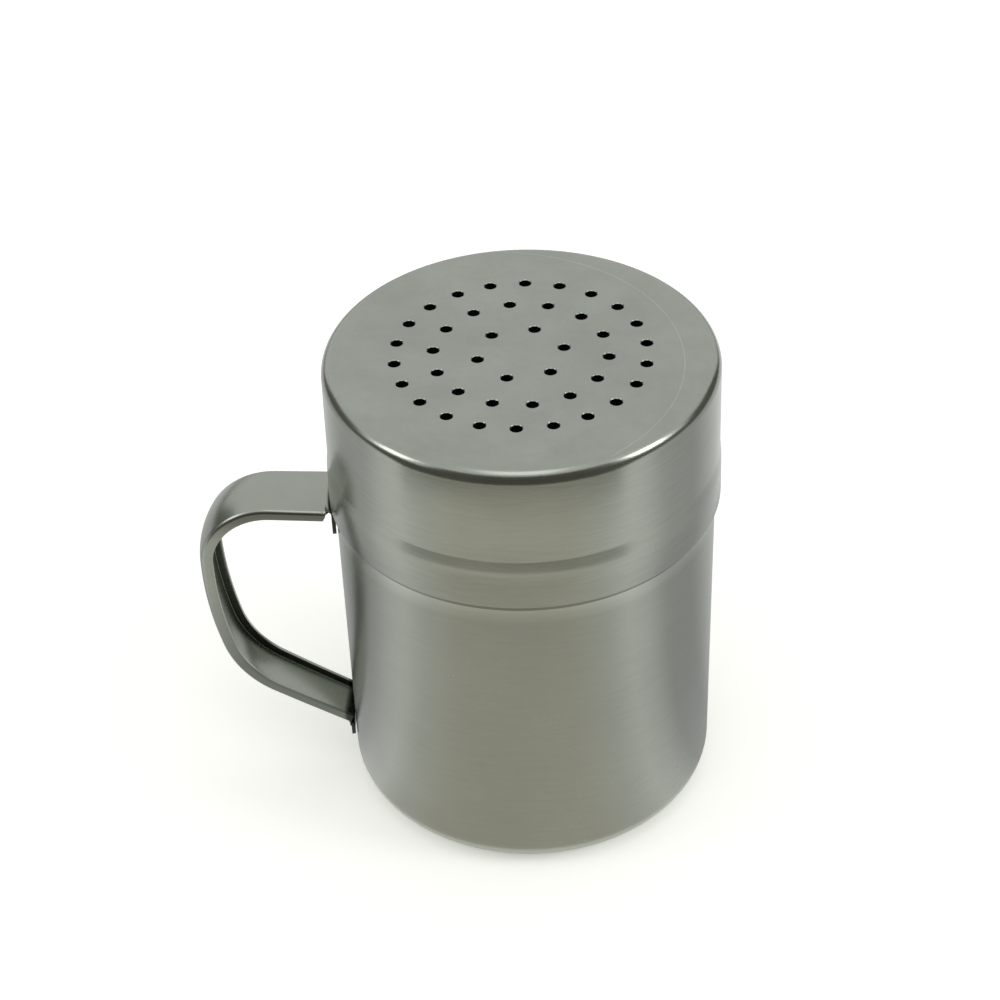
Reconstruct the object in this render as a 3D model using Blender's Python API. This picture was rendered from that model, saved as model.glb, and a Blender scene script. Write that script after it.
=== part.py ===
"""Handled spice shaker in stainless steel: a drawn cup, a pierced slip lid and a channel handle.

Metres, +Z up. The cup stands on the origin, its axis is Z, and the handle points along -X.
"""

import math

import bmesh
import bpy
from mathutils import Vector

# Overall
OVERALL_HEIGHT = 0.0945

# Lid, drawn from one disc
LID_RADIUS = 0.03595
LID_SHEET = 0.0005
LID_SKIRT = 0.0293
LID_TOP_FILLET = 0.0024
LID_STEP_DROP = 0.0190
LID_STEP_HEIGHT = 0.0020
LID_STEP_OUT = 0.0002

# Holes in the lid's top: three rings, each with its radius, its count and its first angle
HOLE_RADIUS = 0.0011
OUTER_RING_RADIUS = 0.0227
MIDDLE_RING_RADIUS = 0.0158
INNER_RING_RADIUS = 0.0079
OUTER_RING_COUNT = 22
MIDDLE_RING_COUNT = 14
INNER_RING_COUNT = 6
OUTER_RING_TURN = math.radians(8.2)
MIDDLE_RING_TURN = math.radians(22.2)
INNER_RING_TURN = math.radians(13.7)

# Cup
SLIP_CLEARANCE = 0.0003
CUP_SHEET = 0.0005
CUP_DRAFT = 0.00065
CUP_BASE_FILLET = 0.0063

# Handle, one pressed strip with its edges turned in
HANDLE_SHEET = 0.0007
HANDLE_TOP_WIDTH = 0.0135
HANDLE_FOOT_WIDTH = 0.0100
HANDLE_CROWN = 0.0004
HANDLE_CORNER = 0.0022
HANDLE_LIP = 0.0004
HANDLE_LID_GAP = 0.0013
HANDLE_TOP_RUN = 0.0105
HANDLE_TOP_BEND = 0.0142
HANDLE_FOOT_BEND = 0.0202
HANDLE_FOOT_HEIGHT = 0.0090
HANDLE_TOP_RISE = math.radians(1.5)
HANDLE_TOP_TURN = math.radians(91.0)
HANDLE_GRIP_TURN = math.radians(15.6)
HANDLE_FOOT_TURN = math.radians(44.0)

# Weld tabs at the ends of the strip
TAB_GAP = 0.0003
TAB_BEND_INSIDE = 0.0005
UPPER_TAB_LENGTH = 0.0050
LOWER_TAB_LENGTH = 0.0026
TAB_CORNER = 0.0015
FLANGE_RUNOUT = 0.0025
WELD_MARK_RADIUS = 0.0009
WELD_MARK_DEPTH = 0.0002
WELD_MARK_SPACING_SHARE = 0.4

# Facets
TURN_STEPS = 80
HOLE_STEPS = 12
FILLET_STEPS = 5
STEP_STEPS = 4
EDGE_STEPS = 3
SMOOTH_ANGLE = math.radians(35.0)
CUTTER_OVERRUN = 0.001

# Places that follow from the sizes above
LID_EDGE_HEIGHT = OVERALL_HEIGHT - LID_SKIRT
LID_STEP_TOP = OVERALL_HEIGHT - LID_STEP_DROP
LID_SKIRT_RADIUS = LID_RADIUS + LID_STEP_OUT
CUP_RADIUS = LID_RADIUS - LID_SHEET - SLIP_CLEARANCE
CUP_RIM_HEIGHT = OVERALL_HEIGHT - LID_TOP_FILLET
CUP_BASE_RADIUS = CUP_RADIUS - CUP_DRAFT
WALL_LEAN = math.atan2(CUP_DRAFT, LID_EDGE_HEIGHT - CUP_BASE_FILLET)


def clear_scene():
    for obj in list(bpy.data.objects):
        bpy.data.objects.remove(obj, do_unlink=True)


def steel(name, colour, roughness):
    """Satin stainless steel as a Principled material."""
    material = bpy.data.materials.new(name)
    material.use_nodes = True
    shader = material.node_tree.nodes["Principled BSDF"]
    shader.inputs["Base Color"].default_value = (*colour, 1.0)
    shader.inputs["Metallic"].default_value = 1.0
    shader.inputs["Roughness"].default_value = roughness
    return material


def arc(centre, radius, start, end, steps):
    """Points on an arc in the profile's plane, both ends included; angles run from +R towards +Z."""
    points = []
    for i in range(steps + 1):
        angle = start + (end - start) * i / steps
        points.append((centre[0] + radius * math.cos(angle), centre[1] + radius * math.sin(angle)))
    return points


def add_object(name, bm, material):
    mesh = bpy.data.meshes.new(name)
    bm.to_mesh(mesh)
    bm.free()
    mesh.materials.append(material)
    obj = bpy.data.objects.new(name, mesh)
    bpy.context.scene.collection.objects.link(obj)
    return obj


def shade(obj):
    obj.data.shade_smooth()
    obj.data.set_sharp_from_angle(angle=SMOOTH_ANGLE)


def turned(name, profile, material):
    """Revolves an open profile about Z and closes the flat disc at each of its ends."""
    bm = bmesh.new()
    verts = [bm.verts.new((radius, 0, height)) for radius, height in profile]
    edges = [bm.edges.new(pair) for pair in zip(verts, verts[1:])]
    bmesh.ops.spin(
        bm,
        geom=verts + edges,
        cent=(0, 0, 0),
        axis=(0, 0, 1),
        angle=math.tau,
        steps=TURN_STEPS,
        use_merge=True,
    )
    rims = [edge for edge in bm.edges if edge.is_boundary]
    bmesh.ops.holes_fill(bm, edges=rims, sides=0)
    bmesh.ops.recalc_face_normals(bm, faces=bm.faces)
    return add_object(name, bm, material)


def cut(obj, cutter):
    """Cuts with a hidden cutter that stays in the file as a guide."""
    cutter.hide_render = True
    cutter.display_type = "WIRE"
    modifier = obj.modifiers.new(cutter.name, "BOOLEAN")
    modifier.operation = "DIFFERENCE"
    modifier.solver = "EXACT"
    modifier.object = cutter


def wall_radius(height):
    """Outer radius of the cup's wall: it narrows from the lid's edge down to the base fillet."""
    drop = max(LID_EDGE_HEIGHT - height, 0)
    return CUP_RADIUS - drop * math.tan(WALL_LEAN)


def cup():
    inner_fillet = CUP_BASE_FILLET - CUP_SHEET
    fillet_centre = (CUP_BASE_RADIUS - CUP_BASE_FILLET, CUP_BASE_FILLET)
    rim = CUP_SHEET / 2
    rim_centre = (CUP_RADIUS - rim, CUP_RIM_HEIGHT - rim)
    outside = arc(fillet_centre, CUP_BASE_FILLET, -math.pi / 2, 0, FILLET_STEPS)
    outside.append((CUP_RADIUS, LID_EDGE_HEIGHT))
    edge = arc(rim_centre, rim, 0, math.pi, EDGE_STEPS)
    inside = [(CUP_RADIUS - CUP_SHEET, LID_EDGE_HEIGHT)]
    inside += arc(fillet_centre, inner_fillet, 0, -math.pi / 2, FILLET_STEPS)
    body = turned("cup", outside + edge + inside, steel("cup_steel", (0.47, 0.47, 0.44), 0.34))
    shade(body)
    return body


def step_profile(top_radius, bottom_radius):
    """The skirt's step as an S curve, from the narrow upper band down to the wide lower one."""
    points = []
    for i in range(STEP_STEPS + 1):
        share = i / STEP_STEPS
        blend = share * share * (3 - 2 * share)
        radius = top_radius + (bottom_radius - top_radius) * blend
        points.append((radius, LID_STEP_TOP - LID_STEP_HEIGHT * share))
    return points


def hole_cutter():
    """One cutter for all the rings: an upright prism through the lid's top for each hole."""
    rings = (
        (OUTER_RING_RADIUS, OUTER_RING_COUNT, OUTER_RING_TURN),
        (MIDDLE_RING_RADIUS, MIDDLE_RING_COUNT, MIDDLE_RING_TURN),
        (INNER_RING_RADIUS, INNER_RING_COUNT, INNER_RING_TURN),
    )
    bm = bmesh.new()
    for ring_radius, count, first in rings:
        for i in range(count):
            angle = first + math.tau * i / count
            centre = Vector((ring_radius * math.cos(angle), ring_radius * math.sin(angle), 0))
            made = bmesh.ops.create_cone(
                bm,
                cap_ends=True,
                segments=HOLE_STEPS,
                radius1=HOLE_RADIUS,
                radius2=HOLE_RADIUS,
                depth=LID_SHEET + 2 * CUTTER_OVERRUN,
            )
            centre.z = OVERALL_HEIGHT - LID_SHEET / 2
            bmesh.ops.translate(bm, verts=made["verts"], vec=centre)
    return add_object("hole_cutter", bm, bpy.data.materials["lid_steel"])


def lid():
    corner = (LID_RADIUS - LID_TOP_FILLET, OVERALL_HEIGHT - LID_TOP_FILLET)
    edge = LID_SHEET / 2
    edge_centre = (LID_SKIRT_RADIUS - edge, LID_EDGE_HEIGHT + edge)
    outside = arc(corner, LID_TOP_FILLET, math.pi / 2, 0, FILLET_STEPS)
    outside += step_profile(LID_RADIUS, LID_SKIRT_RADIUS)
    hem = arc(edge_centre, edge, 0, -math.pi, EDGE_STEPS)
    inside = step_profile(LID_RADIUS - LID_SHEET, LID_SKIRT_RADIUS - LID_SHEET)[::-1]
    inside += arc(corner, LID_TOP_FILLET - LID_SHEET, 0, math.pi / 2, FILLET_STEPS)
    material = steel("lid_steel", (0.5, 0.5, 0.47), 0.3)
    body = turned("lid", outside + hem + inside, material)
    cut(body, hole_cutter())
    shade(body)
    return body


def ahead(heading):
    return Vector((math.cos(heading), math.sin(heading)))


def right_of(heading):
    return Vector((math.sin(heading), -math.cos(heading)))


def clockwise(start, end):
    """The step from start to end of a clockwise arc of unit radius between two headings."""
    return right_of(start) - right_of(end)


def handle_path():
    """Stations of the strip's outer face in the R, Z plane, from the upper tab to the lower one.

    Each station is (point, heading, zone). The heading turns clockwise round the loop, so the
    sheet's thickness and its turned edges lie to the right. The lower arm's length and the grip's
    long radius are the two values that make the loop end on the lower tab.
    """
    rise = HANDLE_TOP_RISE
    top_end = rise - HANDLE_TOP_TURN
    grip_end = top_end - HANDLE_GRIP_TURN
    arm = grip_end - HANDLE_FOOT_TURN
    up_wall = math.pi / 2 - WALL_LEAN
    down_wall = up_wall - math.pi

    strap_height = LID_EDGE_HEIGHT - HANDLE_LID_GAP
    upper_root = Vector((wall_radius(strap_height) + TAB_GAP, strap_height))
    upper_bend = TAB_BEND_INSIDE + HANDLE_SHEET
    upper_trim = upper_bend * math.tan((up_wall - rise) / 2)
    lower_face = wall_radius(HANDLE_FOOT_HEIGHT) + TAB_GAP + HANDLE_SHEET
    lower_root = Vector((lower_face, HANDLE_FOOT_HEIGHT))
    lower_trim = TAB_BEND_INSIDE * math.tan((down_wall - arm) / 2)

    start = upper_root + ahead(rise) * (upper_trim + HANDLE_TOP_RUN)
    gap = lower_root - start
    gap -= clockwise(rise, top_end) * HANDLE_TOP_BEND
    gap -= clockwise(grip_end, arm) * HANDLE_FOOT_BEND
    grip_step = clockwise(top_end, grip_end)
    arm_step = ahead(arm)
    cross = grip_step.x * arm_step.y - grip_step.y * arm_step.x
    grip_radius = (gap.x * arm_step.y - gap.y * arm_step.x) / cross
    arm_length = (grip_step.x * gap.y - grip_step.y * gap.x) / cross

    runs = (
        ("tab", UPPER_TAB_LENGTH, 0, 5),
        ("bend", upper_bend, up_wall - rise, 5),
        ("strap", HANDLE_TOP_RUN, 0, 8),
        ("strap", HANDLE_TOP_BEND, HANDLE_TOP_TURN, 14),
        ("strap", grip_radius, HANDLE_GRIP_TURN, 5),
        ("strap", HANDLE_FOOT_BEND, HANDLE_FOOT_TURN, 8),
        ("strap", arm_length - lower_trim, 0, 9),
        ("bend", TAB_BEND_INSIDE, arm - down_wall, 5),
        ("tab", LOWER_TAB_LENGTH, 0, 5),
    )
    heading = up_wall
    point = upper_root - ahead(up_wall) * (upper_trim + UPPER_TAB_LENGTH)
    stations = [(point.copy(), heading, "tab")]
    for zone, size, turn, steps in runs:
        for _ in range(steps):
            if turn:
                step = abs(turn) / steps
                chord = 2 * size * math.sin(step / 2)
                heading -= turn / steps / 2
                point = point + ahead(heading) * chord
                heading -= turn / steps / 2
            else:
                point = point + ahead(heading) * (size / steps)
            stations.append((point.copy(), heading, zone))
    return stations


def across_share():
    """Where the section's points lie, as (share of the web, share of the corner, share of the lip)."""
    web = [(i / 3, 0, 0) for i in range(4)]
    corner = [(1, i / 5, 0) for i in range(1, 6)]
    return web + corner + [(1, 1, 1)]


def section_point(along, half_web):
    """Half of the strip's section, flattened length in, (sideways, depth) out."""
    if along <= half_web:
        return along, HANDLE_CROWN * (along / half_web) ** 2
    angle = min((along - half_web) / HANDLE_CORNER, math.pi / 2)
    lip = max(along - half_web - HANDLE_CORNER * math.pi / 2, 0)
    sideways = half_web + HANDLE_CORNER * math.sin(angle)
    return sideways, HANDLE_CROWN + HANDLE_CORNER * (1 - math.cos(angle)) + lip


def handle_rows(stations):
    """World points of the strip's outer face: one row across it for each station."""
    lengths = [0]
    for (before, _, _), (after, _, _) in zip(stations, stations[1:]):
        lengths.append(lengths[-1] + (after - before).length)
    total = lengths[-1]
    strap = [s for s, (_, _, zone) in zip(lengths, stations) if zone == "strap"]
    first, last = strap[0], strap[-1]
    rows = []
    for s, (point, heading, zone) in zip(lengths, stations):
        width = HANDLE_TOP_WIDTH + (HANDLE_FOOT_WIDTH - HANDLE_TOP_WIDTH) * s / total
        half_web = width / 2 - HANDLE_CORNER
        tab_reach = half_web + HANDLE_CORNER * math.sin(math.pi / 4)
        full_reach = half_web + HANDLE_CORNER * math.pi / 2 + HANDLE_LIP
        inland = max(min(s - first, last - s), 0)
        channel = min(inland / FLANGE_RUNOUT, 1)
        hug = max(1 - inland / HANDLE_TOP_RUN, 0)
        reach = tab_reach + (full_reach - tab_reach) * channel
        from_end = min(s, total - s)
        if from_end < TAB_CORNER:
            reach -= TAB_CORNER - math.sqrt(TAB_CORNER**2 - (TAB_CORNER - from_end) ** 2)
        half = []
        for web, corner, lip in across_share():
            flat = web * half_web + corner * HANDLE_CORNER * math.pi / 2 + lip * HANDLE_LIP
            sideways, depth = section_point(flat * reach / full_reach, half_web)
            sag = point.x - math.sqrt(point.x**2 - sideways**2)
            inward = right_of(heading) * (depth * channel)
            half.append((point.x + inward.x - sag * hug, sideways, point.y + inward.y))
        near = [Vector((-r, -side, z)) for r, side, z in reversed(half[1:])]
        far = [Vector((-r, side, z)) for r, side, z in half]
        rows.append(near + far)
    return rows


def weld_mark_cutter(stations):
    """The round dents that the spot-welding tips leave on the open face of each tab, two a tab."""
    upper = stations[0][0] + ahead(stations[0][1]) * (UPPER_TAB_LENGTH / 2)
    upper += right_of(stations[0][1]) * HANDLE_SHEET
    lower = stations[-1][0] - ahead(stations[-1][1]) * (LOWER_TAB_LENGTH / 2)
    bm = bmesh.new()
    for place, width in ((upper, HANDLE_TOP_WIDTH), (lower, HANDLE_FOOT_WIDTH)):
        for side in (-1, 1):
            sideways = side * width * WELD_MARK_SPACING_SHARE / 2
            face = math.sqrt(place.x**2 - sideways**2)
            made = bmesh.ops.create_cone(
                bm,
                cap_ends=True,
                segments=HOLE_STEPS,
                radius1=WELD_MARK_RADIUS,
                radius2=WELD_MARK_RADIUS,
                depth=WELD_MARK_DEPTH + CUTTER_OVERRUN,
            )
            bmesh.ops.rotate(bm, verts=made["verts"], cent=(0, 0, 0), matrix=face_turn())
            reach = face - WELD_MARK_DEPTH + (WELD_MARK_DEPTH + CUTTER_OVERRUN) / 2
            bmesh.ops.translate(bm, verts=made["verts"], vec=Vector((-reach, sideways, place.y)))
    return add_object("weld_mark_cutter", bm, bpy.data.materials["handle_steel"])


def face_turn():
    """Turns an upright cutter so that it points along X."""
    return Vector((0, 0, 1)).rotation_difference(Vector((1, 0, 0))).to_matrix()


def handle():
    stations = handle_path()
    bm = bmesh.new()
    rows = [[bm.verts.new(point) for point in row] for row in handle_rows(stations)]
    for row, after in zip(rows, rows[1:]):
        for i in range(len(row) - 1):
            bm.faces.new((row[i], row[i + 1], after[i + 1], after[i]))
    body = add_object("handle", bm, steel("handle_steel", (0.47, 0.47, 0.44), 0.32))
    shade(body)
    sheet = body.modifiers.new("sheet", "SOLIDIFY")
    sheet.thickness = HANDLE_SHEET
    sheet.offset = -1
    sheet.use_even_offset = True
    cut(body, weld_mark_cutter(stations))
    return body


def main():
    clear_scene()
    cup()
    lid()
    handle()


main()
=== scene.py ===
"""Dresses the handled spice shaker: fine meshes of its three steel pieces, their finish, the studio."""

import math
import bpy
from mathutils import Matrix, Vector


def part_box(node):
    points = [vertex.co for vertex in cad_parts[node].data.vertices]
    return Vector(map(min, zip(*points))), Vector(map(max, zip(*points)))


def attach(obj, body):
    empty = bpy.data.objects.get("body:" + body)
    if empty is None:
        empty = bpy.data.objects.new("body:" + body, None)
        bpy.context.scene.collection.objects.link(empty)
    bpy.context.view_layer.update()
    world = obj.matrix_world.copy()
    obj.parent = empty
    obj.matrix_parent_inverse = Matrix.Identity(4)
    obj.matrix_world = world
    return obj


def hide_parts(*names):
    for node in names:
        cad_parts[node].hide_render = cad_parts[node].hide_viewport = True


bl_info = {
    "name": "Handled spice shaker",
    "version": (1, 0, 0),
    "blender": (4, 5, 0),
    "location": "View3D > Sidebar > Shaker",
    "description": "Builds a stainless steel spice shaker with a pierced push-on lid and a loop handle",
    "category": "Object",
}

import bmesh
import bpy
from bpy.props import FloatProperty, FloatVectorProperty, IntProperty, PointerProperty
from bpy.types import Operator, Panel, PropertyGroup
from mathutils import Quaternion, Vector

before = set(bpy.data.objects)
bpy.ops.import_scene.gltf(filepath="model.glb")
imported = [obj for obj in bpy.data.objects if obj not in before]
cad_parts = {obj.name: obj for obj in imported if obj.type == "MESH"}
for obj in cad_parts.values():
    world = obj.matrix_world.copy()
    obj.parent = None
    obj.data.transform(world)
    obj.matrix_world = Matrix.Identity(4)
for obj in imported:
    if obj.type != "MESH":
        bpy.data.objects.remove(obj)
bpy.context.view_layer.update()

MM = 0.001

# Places taken from the frame
LID_LOW, LID_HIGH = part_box("lid")
CUP_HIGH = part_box("cup")[1]

# The three rings of holes in the lid
RINGS = ("Outer", "Middle", "Inner")

# Facets of the fine meshes
TURN_STEPS = 240
FILLET_STEPS = 14
STEP_STEPS = 12
EDGE_STEPS = 6
SEAT_STEPS = 8
PUNCH_SIDES = 28
WEB_STEPS = 16
CORNER_STEPS = 8
ROOM_STEPS = 144

# How near points are merged, and the angles from which edges stay sharp and are broken
MERGE_DISTANCE = 0.01 * MM
SMOOTH_ANGLE = math.radians(40.0)
BREAK_ANGLE = math.radians(60.0)

# The skirt's step: how far above it the wall is held straight, and the share that its bevel takes
STEP_SUPPORT = 0.12 * MM
STEP_BEVEL_SHARE = 0.65

# Sizes of the steel's patterns. The brush lines and the grain are coarser than real ones, so that
# they show in the render.
BRUSH_LENGTH = 7.69 * MM
BRUSH_HEIGHT = 0.588 * MM
GRAIN_SIZE = 0.4545 * MM
SMUDGE_SIZE = 23.8 * MM
DENT_SIZE = 18.18 * MM
# What smudges and brush lines do to the roughness and the tone, over these spans of the noise
SMUDGE_SPAN = (0.3, 0.7)
SMUDGE_ROUGHNESS = (-0.03, 0.04)
LINE_ROUGHNESS = 0.05
TONE_SPAN = (0.35, 0.65)
SMUDGE_TONES = (0.96, 1.04)
# Turn of the brushing's stretch, as a share of a full turn: level round the axis
BRUSH_TURN = 0.25
# Depths of the patterns' bumps
DENT_DEPTH = 0.12 * MM
BRUSH_DEPTH = 0.004 * MM
GRAIN_DEPTH = 0.003 * MM

# Painted light and shade on the cup at the lid's edge, a painted highlight band and a painted shade line:
# how far each reaches below the edge, and its tone
PAINTED_LIGHT_BAND = 4.6 * MM
PAINTED_LIGHT_TONE = 1.3
PAINTED_SHADE_LINE = 1.15 * MM
PAINTED_SHADE_TONE = 0.5
LINE_BLUR = PAINTED_SHADE_LINE / 8
SCRATCH_TONE = 1.25

# Painted shade on the handle: in its channel, on the weld tabs, where it adds to their heat tint, and on
# the strap's and the foot's upright edges, which darken between two heights
CHANNEL_OPENNESS = (0.4, 0.85)
CHANNEL_SHADE_TONE = 0.12
WELD_TINT_AND_SHADE_TONE = 0.25
UPRIGHT = (0.8, 0.97)
STRAP_HEIGHTS = (56 * MM, 61 * MM)
FOOT_HEIGHTS = (25 * MM, 45 * MM)
EDGE_SHADE_TONE = 0.5

# How light the table is round the shaker: share of the half turn from front to back, level, warmth
TABLE_TONES = (
    (0.0, 0.55, 0.85),
    (0.15, 0.57, 0.85),
    (0.26, 0.66, 0.4),
    (0.34, 0.82, 0.1),
    (0.40, 0.72, 0.0),
    (0.47, 0.50, 0.0),
    (0.6, 0.44, 0.0),
    (1.0, 0.46, 0.0),
)
# What a warmth of 1 adds to the red and takes from the blue
WARM_RED = 0.06
WARM_BLUE = 0.13
# How light the table is in front, by the distance from the axis, and the range of its curve
TABLE_REACH = (
    (0.04, 1.02),
    (0.09, 1.02),
    (0.12, 0.86),
    (0.14, 1.45),
    (0.165, 1.8),
    (0.18, 1.0),
    (0.9, 1.0),
)
REACH_RANGE = 2
# How light it is elsewhere: distances from the axis and levels
BESIDE_DISTANCES = (0.09, 0.12)
BESIDE_LEVELS = (1.0, 1.15)
# Shares of the half turn between which the front goes over into the sides
FRONT_SHARES = (0.1, 0.3)
# Where the table ends: shares of the half turn, distances from the axis, and the width of its edge
END_SHARES = (0.32, 0.48)
END_DISTANCES = (0.158, 0.8)
END_BLUR = 0.01
# How high the unlit room stands round the table: share of the half turn and height at 1 m
ROOM_HEIGHTS = (
    (0, 0.95),
    (0.28, 0.95),
    (0.3, 0.34),
    (0.52, 0.34),
    (0.58, 0.62),
    (0.72, 0.62),
    (0.76, 0.1),
    (1, 0.1),
)

# The lamps: name, place in metres, width in metres and power in watts
LAMPS = (
    ("top_softbox", (0.0, -0.35, 0.95), 0.45, 0.55),
    ("left_softbox", (-0.70, -0.22, 0.5), 0.28, 0.6),
    ("right_softbox", (0.72, -0.20, 0.5), 0.28, 1.3),
)
FLOOR_HALF = 4.0
FLOOR_ROUGHNESS = 0.9
FLOOR_SPECULAR = 0.2
SENSOR_WIDTH = 36.0
CAMERA_AIM = Vector((-4.70 * MM, 0, 61.34 * MM))


def linear(code):
    """An sRGB hex colour as linear values."""
    values = []
    for i in (1, 3, 5):
        value = int(code[i : i + 2], 16) / 255
        values.append(value / 12.92 if value <= 0.04045 else ((value + 0.055) / 1.055) ** 2.4)
    return tuple(values)


def length(name, description, default):
    return FloatProperty(name=name, description=description, default=default, unit="LENGTH", precision=5)


def angle(name, description, degrees):
    default = math.radians(degrees)
    return FloatProperty(
        name=name, description=description, default=default, subtype="ANGLE", unit="ROTATION"
    )


def colour(name, description, code):
    return FloatVectorProperty(
        name=name, description=description, default=linear(code), size=3, min=0, max=1, subtype="COLOR"
    )


def share(name, description, default):
    return FloatProperty(
        name=name, description=description, default=default, subtype="FACTOR", min=0, max=1
    )


class ShakerLid(PropertyGroup):
    """Sizes and colour of the push-on lid."""

    height: length("Top height", "Height of the lid's flat top", LID_HIGH.z)
    skirt_radius: length("Skirt radius", "Outer radius of the skirt's lower band", LID_HIGH.x)
    edge_height: length("Edge height", "Height of the skirt's lower edge", LID_LOW.z)
    sheet: length("Sheet", "Thickness of the steel", 0.5 * MM)
    top_fillet: length("Top fillet", "Radius of the rounded top edge", 2.4 * MM)
    step_drop: length("Step drop", "Depth of the skirt's step below the top", 19.0 * MM)
    step_height: length("Step height", "Height of the step's slope", 3.4 * MM)
    step_out: length("Step out", "How far the step stands out", 0.25 * MM)
    scratch_centre: FloatVectorProperty(
        name="Scratch centre",
        description="Centre of the long scratch's circle on the top",
        size=2,
        default=(-7.1 * MM, -2.8 * MM),
        subtype="XYZ",
        unit="LENGTH",
    )
    scratch_radius: length("Scratch radius", "Radius of the long scratch's circle", 36.3 * MM)
    scratch_width: length("Scratch width", "Half width of the long scratch", 0.14 * MM)
    flare: length("Flare", "How much wider the lower band is at its edge", 0.03 * MM)
    hole_radius: length("Hole radius", "Radius of each punched hole", 1.1 * MM)
    punch_roll: length("Punch roll", "Width of the rolled edge round each hole", 0.12 * MM)
    outer_ring: length("Outer ring", "Radius of the outer ring of holes", 22.7 * MM)
    middle_ring: length("Middle ring", "Radius of the middle ring of holes", 15.8 * MM)
    inner_ring: length("Inner ring", "Radius of the inner ring of holes", 7.9 * MM)
    outer_count: IntProperty(name="Outer count", description="Holes in the outer ring", default=22)
    middle_count: IntProperty(name="Middle count", description="Holes in the middle ring", default=14)
    inner_count: IntProperty(name="Inner count", description="Holes in the inner ring", default=6)
    outer_turn: angle("Outer turn", "Angle of the outer ring's first hole", 8.2)
    middle_turn: angle("Middle turn", "Angle of the middle ring's first hole", 22.2)
    inner_turn: angle("Inner turn", "Angle of the inner ring's first hole", 13.7)
    steel: colour("Steel", "Colour of the lid's steel", "#A8ADA4")


class ShakerCup(PropertyGroup):
    """Sizes and colour of the drawn cup."""

    rim_height: length("Rim height", "Height of the rim, which is inside the lid", CUP_HIGH.z)
    rim_radius: length("Rim radius", "Outer radius of the wall above the lid's edge", CUP_HIGH.x)
    draft: length("Draft", "How much narrower the wall is at the base fillet", 0.65 * MM)
    sheet: length("Sheet", "Thickness of the steel", 0.5 * MM)
    base_fillet: length("Base fillet", "Radius of the rounded base edge", 6.3 * MM)
    seat_height: length("Seat height", "Height of the swell below the lid's edge", 2.8 * MM)
    seat_swell: length("Seat swell", "How far the wall swells at the lid's edge", 0.12 * MM)
    steel: colour("Steel", "Colour of the cup's steel", "#A8ADA4")


class ShakerHandle(PropertyGroup):
    """Sizes and colour of the loop handle."""

    sheet: length("Sheet", "Thickness of the strip", 0.7 * MM)
    top_width: length("Top width", "Width across the strip at its upper end", 13.5 * MM)
    foot_width: length("Foot width", "Width across the strip at its lower end", 10.0 * MM)
    crown: length("Crown", "Rise of the web between its corners", 0.6 * MM)
    corner: length("Corner", "Radius of the turned-in edges", 0.9 * MM)
    end_depth: length("End depth", "Depth of the turned-in edges at both ends", 2.6 * MM)
    grip_depth: length("Grip depth", "Depth of the turned-in edges in the middle of the grip", 3.0 * MM)
    lid_gap: length("Lid gap", "Gap from the lid's edge down to the strip", 1.3 * MM)
    top_run: length("Top run", "Straight run from the cup to the top bend", 10.5 * MM)
    top_bend: length("Top bend", "Radius of the top bend", 14.2 * MM)
    foot_bend: length("Foot bend", "Radius of the bottom bend", 20.2 * MM)
    foot_height: length("Foot height", "Height at which the lower arm meets the cup", 9.0 * MM)
    top_rise: angle("Top rise", "Rise of the top run", 1.5)
    top_turn: angle("Top turn", "Turn of the top bend", 91.0)
    grip_turn: angle("Grip turn", "Turn of the long curve of the grip", 15.6)
    foot_turn: angle("Foot turn", "Turn of the bottom bend", 44.0)
    tab_gap: length("Tab gap", "Gap from the weld tabs to the cup's wall", 0.3 * MM)
    tab_bend: length("Tab bend", "Inside radius of the bend at each tab", 0.5 * MM)
    upper_tab: length("Upper tab", "Length of the upper weld tab", 5.0 * MM)
    lower_tab: length("Lower tab", "Length of the lower weld tab", 2.6 * MM)
    tab_corner: length("Tab corner", "Radius of the tabs' corners", 1.5 * MM)
    runout: length("Run-out", "Length over which the turned-in edges fade at the tabs", 0.6 * MM)
    edge_break: length("Edge break", "Width of the rounded cut edges", 0.12 * MM)
    weld_radius: length("Weld mark radius", "Radius of the dents left by the welding tips", 0.9 * MM)
    weld_depth: length("Weld mark depth", "Depth of the dents left by the welding tips", 0.2 * MM)
    weld_spacing: share("Weld mark spacing", "Spacing of the two dents as a share of the width", 0.4)
    steel: colour("Steel", "Colour of the handle's steel", "#A8ADA4")


class ShakerStage(PropertyGroup):
    """The studio round the shaker."""

    floor: colour("Floor", "Colour of the floor", "#FBFBF6")
    floor_glow: share("Floor glow", "Light that the floor adds for the camera and reflections", 0.3)
    room: colour("Room", "Colour of the unlit room that the steel reflects", "#5E5C56")
    world_level: FloatProperty(name="World level", description="Strength of the soft light", default=0.75)
    table_turn: angle("Table turn", "Turn of the reflected table's tones to the left", 8.0)
    camera_distance: length("Camera distance", "From the lens to the point that it looks at", 522.7 * MM)
    camera_azimuth: angle("Camera azimuth", "Turn of the camera to the right of the front", 3.62)
    camera_elevation: angle("Camera elevation", "Angle of the camera above the level", 37.69)
    camera_roll: angle("Camera roll", "Turn of the camera about its own axis", -2.12)
    lens: FloatProperty(
        name="Lens", description="Focal length on a 36 mm sensor", default=101.3, unit="CAMERA"
    )


def add_node(tree, kind, inputs=None, **settings):
    """Adds a node with its settings, and feeds its sockets with values or with other sockets."""
    node = tree.nodes.new(kind)
    for name, value in settings.items():
        setattr(node, name, value)
    for key, value in (inputs or {}).items():
        if isinstance(value, bpy.types.NodeSocket):
            tree.links.new(value, node.inputs[key])
        else:
            node.inputs[key].default_value = value
    return node


def arc(centre, radius, start, end, steps):
    """Points on an arc in the profile's plane, both ends included; angles run from +R towards +Z."""
    points = []
    for i in range(steps + 1):
        turn = start + (end - start) * i / steps
        points.append((centre[0] + radius * math.cos(turn), centre[1] + radius * math.sin(turn)))
    return points


def add_object(name, data):
    """Adds an object to the scene."""
    obj = bpy.data.objects.new(name, data)
    bpy.context.scene.collection.objects.link(obj)
    return obj


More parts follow.
